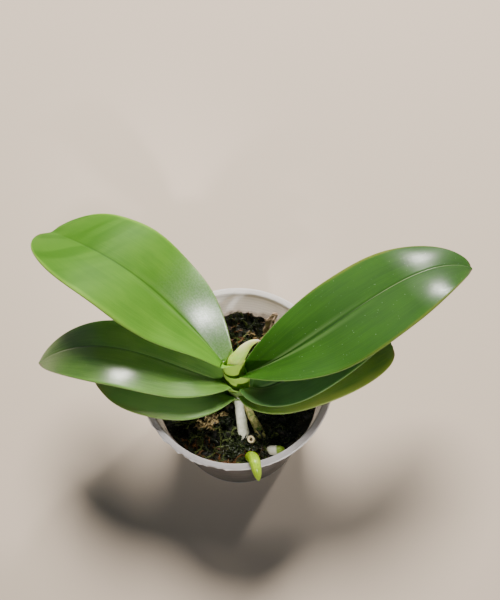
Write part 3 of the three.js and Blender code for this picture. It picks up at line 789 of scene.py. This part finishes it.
def pot_finish():
    """Frosted plastic, darker and less clear where wet moss lies behind it, with painted shade on the front
    of the rim and painted light on its back.
    """
    finish = Finish("frosted_plastic", (0.72, 0.71, 0.69))
    spot = finish.spot()
    x, y, height = finish.split(spot)
    radius = (x * x + y * y) ** 0.5
    rim = height.rise(POT_HEIGHT - 2.4, POT_HEIGHT - 1.6)
    edge = radius.rise(RIM_RADIUS - 0.7, RIM_RADIUS - 0.2) * rim
    cloud = finish.noise(spot, 0.05, 3.0)
    patch = finish.noise(spot, 0.16, 4.0, 0.6)
    rings = (height * (2 * math.pi / MOULD_RING["pitch"])).sine() * 0.5 + 0.5
    plain = finish.mix(cloud.rise(0.3, 0.7), *FROST)
    plain = finish.mix(rings**3 * 0.22, plain, RING_SHADE)
    wet = (height + (patch - 0.5) * 16.0).rise(64.0, 55.0) * height.rise(1.0, 6.0)
    soil = finish.mix(patch.rise(0.35, 0.65), *WET_SOIL)
    plain = finish.mix(wet * 0.85, plain, soil)
    # Painted shade and light on the rim: darker at the front, paler at the back.
    haze = finish.mix(y.rise(-15.0, 30.0), *RIM_SHADE_TO_LIGHT)
    colour = finish.mix(rim * 0.9, plain, haze)
    colour = finish.mix(edge, colour, RIM_EDGE)
    flecks = finish.specks(spot, 0.5).rise(0.12, 0.04) * patch.rise(0.5, 0.6)
    colour = finish.mix(flecks * 0.35, colour, FLECK)
    grain = finish.bump(finish.noise(spot, 1.4, 4.0) * 0.6 + rings * 0.4, 0.08, 0.5)
    seen = rim * 0.22 - wet * 0.2 + 0.72
    gloss = 0.34 + patch * 0.12 + rim * 0.25
    finish.shade(base_color=colour, roughness=gloss, alpha=seen, normal=grain)
    return finish.shade(subsurface_weight=1.0, subsurface_radius=(1.0, 0.95, 0.9), subsurface_scale=4 * MM)


# %% Pot mesh
def pot_mesh(sides=160):
    profile = pot_profile()
    turns = full_turn(sides)
    radius = profile[:, :1] * np.ones((1, sides))
    height = profile[:, 1:] * np.ones((1, sides))
    edge = smoothstep(RIM_RADIUS - 1.6, RIM_RADIUS - 0.2, radius)
    near = np.exp(-(((np.degrees(turns) - 180) % 360 - 180 - FLASH["middle"]) / FLASH["spread"]) ** 2)
    chips = np.array([noise.noise(Vector((math.cos(a) * 24, math.sin(a) * 24, 0))) for a in turns])
    radius = radius - edge * near * FLASH["depth"] * np.clip(0.5 + chips * 1.6, 0, 1)
    height = height + edge * near * chips * 0.35
    rings = np.stack([radius * np.cos(turns), radius * np.sin(turns), height], axis=-1)
    return one_skin("pot_shell", rings, (0, 0, 0), pot_finish(), "pot")


pot = pot_mesh()

# %% [markdown]
# ## Drain holes
# Water leaves an orchid pot through a ring of round holes in its floor. They could be left out of
# the rings, but the rings are too coarse there for a round edge. So six short rods are cut away by
# a boolean modifier.


# %% Drain holes
def drill(target):
    """Cuts the drain holes with one boolean modifier, applied at once."""
    rod = np.array([[0, 0, -2.0], [0, 0, 1.0], [0, 0, 6.0]])
    heap = Heap()
    for k in range(DRAIN["count"]):
        turn = 2 * math.pi * (k + 0.5) / DRAIN["count"]
        middle = DRAIN["ring"] * np.array([math.cos(turn), math.sin(turn), 0])
        rings = sweep(middle + rod, [DRAIN["radius"]] * len(rod), 32)
        heap.add(rings, skin(rings), (0, 0, 0))
    cutter = heap.piece("drills", target.data.materials[0])
    cut = target.modifiers.new("holes", "BOOLEAN")
    cut.object = cutter
    cut.solver = "EXACT"
    shaped = target.evaluated_get(bpy.context.evaluated_depsgraph_get())
    fresh = bpy.data.meshes.new_from_object(shaped)
    target.modifiers.clear()
    target.data = fresh
    bpy.data.objects.remove(cutter)
    print("pot has", len(fresh.polygons), "faces after drilling")


drill(pot)

# %% [markdown]
# ## The moss
# The pot is stuffed with sphagnum. Most of it is nearly black with wet, with glossy green threads,
# and a few dried tufts are tan. It could be one displaced surface, but moss looks like moss from
# close by only when threads stand off it. So the bed is a plug with a rough top, and on it lie
# hundreds of short arching threads with tiny leaflets.

# %% Moss sizes
MOSS_FORM = dict(swell=1.3, lump=0.9, back=3.2, tuft=3.4, tuft_x=-12, tuft_y=-20, tuft_spread=60)
MOSS_LEVEL = 56.5
MOSS_GAP = 0.35
MOSS_BOTTOM = FLOOR + CHANNEL["rise"] + MOSS_GAP
MOSS_FOOT = 31
MOSS_REACH = pot_outer(MOSS_LEVEL) - WALL - MOSS_GAP
print("moss reaches", round(MOSS_REACH, 2), "mm from the pot's middle")


def moss_height(x, y):
    """The level of the moss, with its swells, its rise at the back and one tuft at the front."""
    form = MOSS_FORM
    swells = form["swell"] * np.sin(0.21 * x + 0.6) * np.cos(0.19 * y - 0.4)
    lumps = form["lump"] * np.sin(0.47 * x - 0.33 * y + 1.1) * np.cos(0.39 * x + 0.52 * y)
    back_rise = form["back"] * smoothstep(18, 36, y)
    distance = (x - form["tuft_x"]) ** 2 + (y - form["tuft_y"]) ** 2
    return MOSS_LEVEL + swells + lumps + back_rise + form["tuft"] * np.exp(-distance / form["tuft_spread"])


def rough(point, scale, seed=0.0):
    """Noise that is the same each time, as lumps of some size."""
    return noise.fractal(Vector(point) / scale + Vector((seed, 0, 0)), 1.0, 2.0, 4)


# %% Moss finish
def moss_finish(name, dark, light, gloss, fleck):
    finish = Finish(name, light)
    shade_no = finish.place()[0]
    spot = finish.spot()
    patch = finish.noise(spot, 0.16, 4.0, 0.6)
    fine = finish.noise(spot, 1.5, 3.0)
    colour = finish.mix((shade_no * 0.6 + fine * 0.5 + patch * 0.3 - 0.2).rise(0.1, 0.95), dark, light)
    colour = finish.mix(patch.rise(0.56, 0.7) * 0.55, colour, fleck)
    grain = finish.bump(fine, 0.25, 0.7)
    return finish.shade(base_color=colour, roughness=gloss + fine * 0.25, normal=grain)


moss_looks = {
    "bed": dict(dark=(0.004, 0.004, 0.002), light=(0.020, 0.022, 0.008), fleck=(0.075, 0.035, 0.012)),
    "dark": dict(dark=(0.004, 0.006, 0.002), light=(0.024, 0.038, 0.010), fleck=(0.045, 0.028, 0.008)),
    "green": dict(dark=(0.020, 0.036, 0.008), light=(0.15, 0.19, 0.045), fleck=(0.16, 0.13, 0.04)),
    "tan": dict(dark=(0.20, 0.13, 0.045), light=(0.60, 0.47, 0.22), fleck=(0.42, 0.24, 0.08)),
    "rust": dict(dark=(0.06, 0.025, 0.008), light=(0.26, 0.12, 0.035), fleck=(0.12, 0.04, 0.01)),
}
moss_gloss = dict(bed=0.45, dark=0.22, green=0.26, tan=0.45, rust=0.42)
moss = {
    kind: moss_finish("moss_" + kind, gloss=moss_gloss[kind], **look) for kind, look in moss_looks.items()
}
print("moss finishes:", ", ".join(moss))


# %% Moss bed
def moss_bed(rings_count=70, sides=150):
    turns = full_turn(sides)
    foot = [MOSS_FOOT * np.cos(turns), MOSS_FOOT * np.sin(turns), turns * 0 + MOSS_BOTTOM]
    rings = [np.stack(foot, axis=-1)]
    for k in range(rings_count):
        share = 1 - k / rings_count
        x, y = MOSS_REACH * share * np.cos(turns), MOSS_REACH * share * np.sin(turns)
        z = moss_height(x, y)
        relief = np.array([rough((a, b, 0), 5.0) * 1.8 + rough((a, b, 9), 1.6) * 0.9 for a, b in zip(x, y)])
        rings.append(np.stack([x, y, z + relief - 0.5], axis=-1))
    return one_skin("moss_bed", np.array(rings), (0.4, 0, 0), moss["bed"], "moss")


bed = moss_bed()

# %% [markdown]
# ## Moss threads
# A thread starts in the bed, arches over it and dips back or stays free. Leaflets stand off it on
# all sides. They are tiny closed wedges, since a closed shape keeps its shadow side. Threads keep
# clear of the stem, and where a root passes they may lie over it, as they do on the real plant.


# %% Thread mesh
LEAFLETS_PER_MM = 3.0
THREAD_STEPS = 7
THREAD_SIDES = 5
WEDGE_FACES = [[0, 2, 1], [0, 1, 3], [1, 2, 3], [2, 0, 3]]


def leaflet(draw, path, leaf_size):
    """One closed wedge that stands off a thread, and how far along the thread it is."""
    last = len(path) - 1
    at = draw.uniform(0.05, 1.0) * last
    low = min(int(at), last - 1)
    ahead = path[low + 1] - path[low]
    root = path[low] + ahead * (at - low)
    ahead = unit(ahead)
    out = np.array([draw.normal(), draw.normal(), draw.normal() * 0.7 + 0.3])
    out = unit(out - ahead * (out @ ahead) * 0.6)
    side = np.cross(out, ahead)
    side /= max(np.linalg.norm(side), 1e-6)
    size = leaf_size * draw.uniform(0.6, 1.3)
    tip = root + out * size + ahead * size * 0.7
    ridge = root + out * size * 0.4 + np.cross(side, out) * size * 0.16
    return [root - side * size * 0.3, root + side * size * 0.3, ridge, tip], at / len(path)


def thread(heap, draw, start, heading, length, arch, radius, leaf_size, shade):
    """One strand: it wanders from its start, arches over the bed and carries leaflets."""
    t = np.linspace(0, 1, THREAD_STEPS)
    turning = heading + np.cumsum(np.concatenate([[0], draw.normal(0, 0.38, THREAD_STEPS - 1)]))
    stride = length / (THREAD_STEPS - 1)
    x = start[0] + stride * np.concatenate([[0], np.cumsum(np.cos(turning[1:]))])
    y = start[1] + stride * np.concatenate([[0], np.cumsum(np.sin(turning[1:]))])
    over = np.hypot(x, y) / (MOSS_REACH - 1.2)
    x, y = x / np.maximum(over, 1), y / np.maximum(over, 1)
    lift = arch * np.sin(np.pi * np.clip(t * draw.uniform(0.7, 1.0), 0, 1)) - 1.0 * (1 - t)
    path = np.stack([x, y, moss_height(x, y) + lift], axis=-1)
    rings = sweep(path, radius * (1 - 0.5 * t), THREAD_SIDES)
    along = np.repeat(t, THREAD_SIDES)
    heap.add(rings, skin(rings), np.stack([along * 0 + shade, along, along * 0], axis=-1))
    for _ in range(int(length * LEAFLETS_PER_MM)):
        wedge, at = leaflet(draw, path, leaf_size)
        heap.add(wedge, WEDGE_FACES, (shade + draw.uniform(-0.3, 0.3), at, 1))


STEM_CLEARING = dict(x=1.2, y=-5, radius=6.5)


def scatter(name, finish, count, seed, where, length, arch, radius, leaf_size):
    draw = np.random.default_rng(seed)
    heap = Heap()
    for _ in range(count):
        x, y = where(draw)
        if math.hypot(x - STEM_CLEARING["x"], y - STEM_CLEARING["y"]) < STEM_CLEARING["radius"]:
            continue
        heading = draw.uniform(0, 2 * math.pi)
        size = draw.uniform(*length)
        high = draw.uniform(*arch)
        thread(heap, draw, (x, y), heading, size, high, radius, leaf_size, draw.uniform(0, 1))
    made = heap.piece(name, finish, smooth=False)


def anywhere(draw):
    """A draw from the whole of the moss, as dense at the wall as in the middle."""
    turn = draw.uniform(0, 2 * math.pi)
    away = (MOSS_REACH - 2) * math.sqrt(draw.uniform(0.0, 1))
    return away * math.cos(turn), away * math.sin(turn)


def patches(*spots):
    """A draw near one of some spots, each given as x, y and how far it spreads."""

    def where(draw):
        x, y, spread = spots[int(draw.integers(len(spots)))]
        return draw.normal(x, spread), draw.normal(y, spread)

    return where


# %% Moss threads
scatter("moss_dark_threads", moss["dark"], 620, 3, anywhere, (4, 9), (0.8, 3.0), 0.32, 1.3)
green_spots = patches((-13, -21, 7), (-3, -30, 6), (9, -28, 5), (0, 26, 10))
scatter("moss_green_threads", moss["green"], 95, 4, green_spots, (4, 10), (1.2, 3.6), 0.30, 1.1)
front_spots = patches((1.0, -30, 1.8), (9.5, -29.5, 1.6))
scatter("moss_front_threads", moss["dark"], 70, 9, front_spots, (3, 6), (1.5, 4.0), 0.34, 1.3)
tan_spots = patches((-14, -17, 1.6), (-9, -13, 2.0), (-15, -19, 1.2), (13, 27, 3.0))
scatter("moss_tan_threads", moss["tan"], 42, 5, tan_spots, (2, 5.5), (1.8, 4.0), 0.55, 1.3)
rust_spots = patches((-3, -37, 3.5), (-8, -36, 3.5), (7, -33, 2.0), (-6, 31, 5), (-20, -30, 3))
scatter("moss_rust_threads", moss["rust"], 70, 6, rust_spots, (3, 8), (0.8, 2.8), 0.34, 1.2)

# %% [markdown]
# ## The roots
# An orchid's air root is wrapped in a spongy silver skin. Only its growing tip is bare, and that is
# bright green and shiny. Where the two meet, the skin ends in a thin papery collar. The side root
# lies in the wet moss, so its skin has gone brown-green. A curve with a round bevel could make a
# root, but a sweep of rings also lets noise dent the skin and leave the bare tip smooth.

# %% Root sizes
ROOTS = {
    "root_front": dict(
        places=[
            (0.2, -4, 63), (0.5, -8.4, 62.8), (1.2, -13.8, 60.2), (2.0, -20, 58.2),
            (2.6, -24.9, 54.6), (3.4, -29, 51.5), (4.4, -33.0, 56), (5.6, -36.6, 67),
            (6.8, -40.2, 76.2), (7.7, -44.2, 78.4), (8.8, -49.6, 74.6),
        ],
        radii=[
            (0, 1.9), (0.14, 2.2), (0.27, 2.8), (0.36, 2.9), (0.42, 1.9), (0.5, 1.5),
            (0.56, 1.8), (0.64, 2.3), (0.76, 2.6), (0.87, 2.5), (0.94, 1.9), (1, 0.9),
        ],
        collar=0.5,
    ),
    "root_side": dict(
        places=[
            (3.0, -4.8, 59.6), (4.1, -8.8, 59.2), (5.7, -13.1, 58.4), (8.3, -18.3, 57.6),
            (10.5, -22.9, 56.6), (11.8, -26.5, 53.5), (13.2, -29.8, 55.3), (15.5, -31.6, 59.0),
            (18.3, -32.0, 60.4), (21.3, -31.6, 60.6),
        ],
        radii=[
            (0, 1.5), (0.25, 1.8), (0.45, 2.3), (0.55, 2.2), (0.65, 1.3), (0.75, 1.6),
            (0.84, 2.1), (0.93, 2.0), (1, 1.4),
        ],
        collar=0.9,
    ),
    "root_stub": dict(
        places=[(9.5, -24.8, 50), (7.6, -25.8, 55), (6.3, -26.8, 60), (5.8, -27.3, 63)],
        radii=[(0, 1.2), (0.9, 1.6), (1, 1.65)],
        collar=2.0, hollow=1.4,
    ),
}
COLLAR = dict(lift=0.28, width=0.012)
DENTS = 0.16
print("roots:", ", ".join(ROOTS))


# %% Root finish
FRESH_SKIN = (0.80, 0.78, 0.66)
DULL_SKIN, SHINY_TIP = 0.62, 0.3


def root_finish(name, skin_low, skin_high, tip_low, tip_high, fresh=2.0):
    """Spongy bark that turns to a bare living tip, with fresh pale skin from some place on."""
    finish = Finish(name, skin_high)
    along, around, tip = finish.place()
    spot = finish.spot()
    mottle = finish.noise(spot, 0.7, 4.0, 0.6)
    grooves = finish.noise(finish.join(along * 6.0, around * 22.0, 0.0), 1.0, 3.0)
    bark = finish.mix((mottle * 0.8 + grooves * 0.5).rise(0.42, 0.85), skin_low, skin_high)
    living = finish.mix((grooves * 0.5 + mottle * 0.5).rise(0.3, 0.7), tip_low, tip_high)
    bark = finish.mix((along + (mottle - 0.5) * 0.1).rise(fresh, fresh + 0.04), bark, FRESH_SKIN)
    colour = finish.mix(tip, bark, living)
    relief = finish.bump(mottle * 0.6 + grooves * 0.4, 0.2, 0.6)
    dull = DULL_SKIN - tip * (DULL_SKIN - SHINY_TIP)
    return finish.shade(base_color=colour, roughness=dull, normal=relief, specular_ior_level=0.3)


silver = root_finish(
    "root_silver_skin", (0.72, 0.74, 0.54), (1.0, 1.0, 0.86), (0.15, 0.31, 0.004), (0.38, 0.54, 0.012)
)
brown = root_finish(
    "root_brown_skin", (0.05, 0.17, 0.012), (0.78, 0.64, 0.27), (0.16, 0.30, 0.02), (0.30, 0.44, 0.05),
    fresh=0.78,
)
# The cut end's dark second pair of colours goes on the floor of its hollow, as painted shade in the hollow.
cut_end = root_finish(
    "root_cut_end", (0.45, 0.34, 0.16), (0.85, 0.76, 0.50), (0.03, 0.02, 0.01), (0.10, 0.06, 0.03)
)


# %% Root mesh
def root_mesh(name, finish, sides=32, count=150):
    root = ROOTS[name]
    path = smooth_path(root["places"], count)
    t = np.linspace(0, 1, count)
    radii = smooth_value(root["radii"], t)
    if "hollow" not in root:
        rounded = np.clip((t - (1 - ROUNDED)) / ROUNDED, 0, 1)
        radii = radii * np.sqrt(np.maximum(1 - rounded**2, 0.002))
    peel = np.exp(-(((t - root["collar"]) / COLLAR["width"]) ** 2)) * COLLAR["lift"]
    rings = sweep(path, radii + peel * (t < root["collar"] + 0.004), sides)
    middle = path[:, None, :]
    out = rings - middle
    dents = np.array([[rough(p, 3.0, 5) * 0.5 + rough(p, 0.9, 2) * 0.18 for p in ring] for ring in rings])
    bare = smoothstep(root["collar"], root["collar"] + 0.02, t)[:, None]
    rings = middle + out * (1 + dents * DENTS * (1 - 0.75 * bare))[..., None]
    around = np.broadcast_to(np.arange(sides) / sides, rings.shape[:2])
    along = np.broadcast_to(t[:, None], around.shape)
    notes = np.stack([along, around, bare * np.ones_like(around)], axis=-1)
    # A hollow end gets a mouth and a floor; the floor takes the dark colour, as painted shade in the hollow.
    if "hollow" in root:
        mouth = path[-1] + (rings[-1] - path[-1]) * 0.55
        floor = path[-1] + (rings[-1] - path[-1]) * 0.35 + (path[-2] - path[-1]) * root["hollow"] * 3
        rings = np.concatenate([rings, [mouth, floor]])
        rim_notes = notes[-1] * (1, 1, 0)
        notes = np.concatenate([notes, [rim_notes, rim_notes + (0, 0, 1)]])
    made = one_skin(name + "_skin", rings, notes, finish, name)


root_mesh("root_front", silver)
root_mesh("root_side", brown)
root_mesh("root_stub", cut_end, count=40)

# %% [markdown]
# ## The dry husk
# Behind the stem the base of an old leaf has dried to a curled brown strip with frayed fibres. It
# could be a strip of simulated paper, but it once was a leaf. So it uses the leaf formula with a
# steep fold, and thin hairs grow from its torn end.

# %% Husk
LEAVES["dry_husk"] = dict(
    midrib=[(15.0, 27.2, 53), (16.3, 29.3, 60), (18.0, 30.8, 66.5), (20.0, 31.8, 72)],
    left=3.4, right=3.0, widest=0.5, base=2.4, swell=(1, 1), blunt=2.1, round=0.5,
    roll=(0, 0), fold=(66, 50), lobes=(2.2, -1), ripple=0.7,
)


HUSK_BROWN = ((0.20, 0.115, 0.06), (0.66, 0.50, 0.34))


def husk_finish():
    finish = Finish("dry_husk_paper", (0.5, 0.36, 0.22))
    along, across, side = finish.place()
    fibres = finish.noise(finish.join(along * 4.0, across * 14.0, side), 1.0, 4.0, 0.7)
    patch = finish.noise(finish.spot(), 0.4, 3.0)
    colour = finish.mix((fibres * 0.8 + patch * 0.5).rise(0.4, 0.9), *HUSK_BROWN)
    return finish.shade(base_color=colour, roughness=0.8, normal=finish.bump(fibres, 0.3, 0.8))


husk_paper = husk_finish()
husk = leaf_mesh("dry_husk", husk_paper, rows=70, columns=27)


def husk_fibres(count=26):
    draw = np.random.default_rng(8)
    heap = Heap()
    for _ in range(count):
        s, v = draw.uniform(0.55, 0.98), draw.uniform(-0.9, 0.9)
        root = leaf_place(LEAVES["dry_husk"], np.array([s]), np.array([v]))[0]
        drift = np.array([draw.normal(-0.4, 1.0), draw.normal(0, 0.8), draw.uniform(0.4, 1.6)])
        curl = np.array([draw.normal(), draw.normal(), draw.normal() * 0.4]) * 0.8
        length = draw.uniform(1.6, 3.4)
        t = np.linspace(0, 1, 8)[:, None]
        path = root + drift * t * length * 0.6 + curl * np.sin(np.pi * t) * length * 0.35
        rings = sweep(path, 0.12 * (1 - 0.7 * t[:, 0]), 5)
        heap.add(rings, skin(rings), (0.5, v, 1))
    made = heap.piece("husk_fibres", husk_paper)


husk_fibres()

# %% [markdown]
# ## Floor and light
# The object stands on a plain pale floor. One big lamp hangs high and straight behind the plant, as
# the sun did, so the near sides are in soft shade and two lobes of shadow fall to the front. A small
# lamp behind it to the right adds the glints on the waxy leaves, and a narrow soft lamp low in front
# lights the heart. A picture of a sky could light it all, but plain lamps can be aimed one by one.
# A pale bluish world fills the shadows.


# %% Stage
FLOOR_REACH = 3.0
FLOOR_COLOUR = (0.57, 0.47, 0.375)
LAMP_DISTANCE = 1.5
SKY_COLOUR, SKY_STRENGTH = (0.72, 0.85, 1.0), 0.13


def stage_floor():
    mesh = bpy.data.meshes.new("floor")
    reach = FLOOR_REACH
    corners = [(-reach, -reach, 0), (reach, -reach, 0), (reach, reach, 0), (-reach, reach, 0)]
    mesh.from_pydata(corners, [], [(0, 1, 2, 3)])
    floor = bpy.data.objects.new("floor", mesh)
    bpy.context.scene.collection.objects.link(floor)
    finish = Finish("pale_floor", (0.6, 0.58, 0.55))
    mesh.materials.append(finish.shade(base_color=FLOOR_COLOUR, roughness=0.85))
    floor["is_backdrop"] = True


def hang(light, power, colour, direction, target):
    """Hangs a lamp in a direction from what it lights and aims it there."""
    light.energy = power
    light.color = colour
    made = bpy.data.objects.new(light.name, light)
    bpy.context.scene.collection.objects.link(made)
    away = Vector(direction).normalized()
    made.location = Vector(target) * MM + away * LAMP_DISTANCE
    made.rotation_euler = away.to_track_quat("Z", "Y").to_euler()
    print(light.name, "hangs at", [round(v, 2) for v in made.location])


def soft_box(name, size, power, colour, direction):
    """A round lamp, as wide as its size in metres, over the middle of the plant."""
    light = bpy.data.lights.new(name, "AREA")
    light.shape = "DISK"
    light.size = size
    hang(light, power, colour, direction, (0, 0, 90))


def soft_spot(name, cone, size, power, colour, direction, target):
    """A narrow lamp with a soft edge, its cone in degrees."""
    light = bpy.data.lights.new(name, "SPOT")
    light.spot_size = math.radians(cone)
    light.spot_blend = 1.0
    light.shadow_soft_size = size
    hang(light, power, colour, direction, target)


stage_floor()
soft_box("high_back", 0.55, 51, (1.0, 0.955, 0.89), (0.0, 0.53, 0.85))
soft_box("glint", 0.13, 9, (1.0, 0.97, 0.92), (0.52, 0.6, 0.6))
soft_spot("front_low", 5.2, 0.06, 135, (1.0, 0.98, 0.95), (0.21, -0.79, 0.57), (-6, 0, 76))

sky = bpy.data.worlds.new("sky")
sky.use_nodes = True
backdrop = sky.node_tree.nodes["Background"]
backdrop.inputs["Color"].default_value = (*SKY_COLOUR, 1)
backdrop.inputs["Strength"].default_value = SKY_STRENGTH
bpy.context.scene.world = sky

# %% [markdown]
# ## Measure and finish
# The dressed model has to keep the size of the frame, so both boxes are written down side by side.

# %% Finish
dressed_low, dressed_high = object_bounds()
frame_size = [round(v, 4) for v in cad_high - cad_low]
dressed_size = [round(v, 4) for v in dressed_high - dressed_low]
print("frame", frame_size, "dressed", dressed_size)
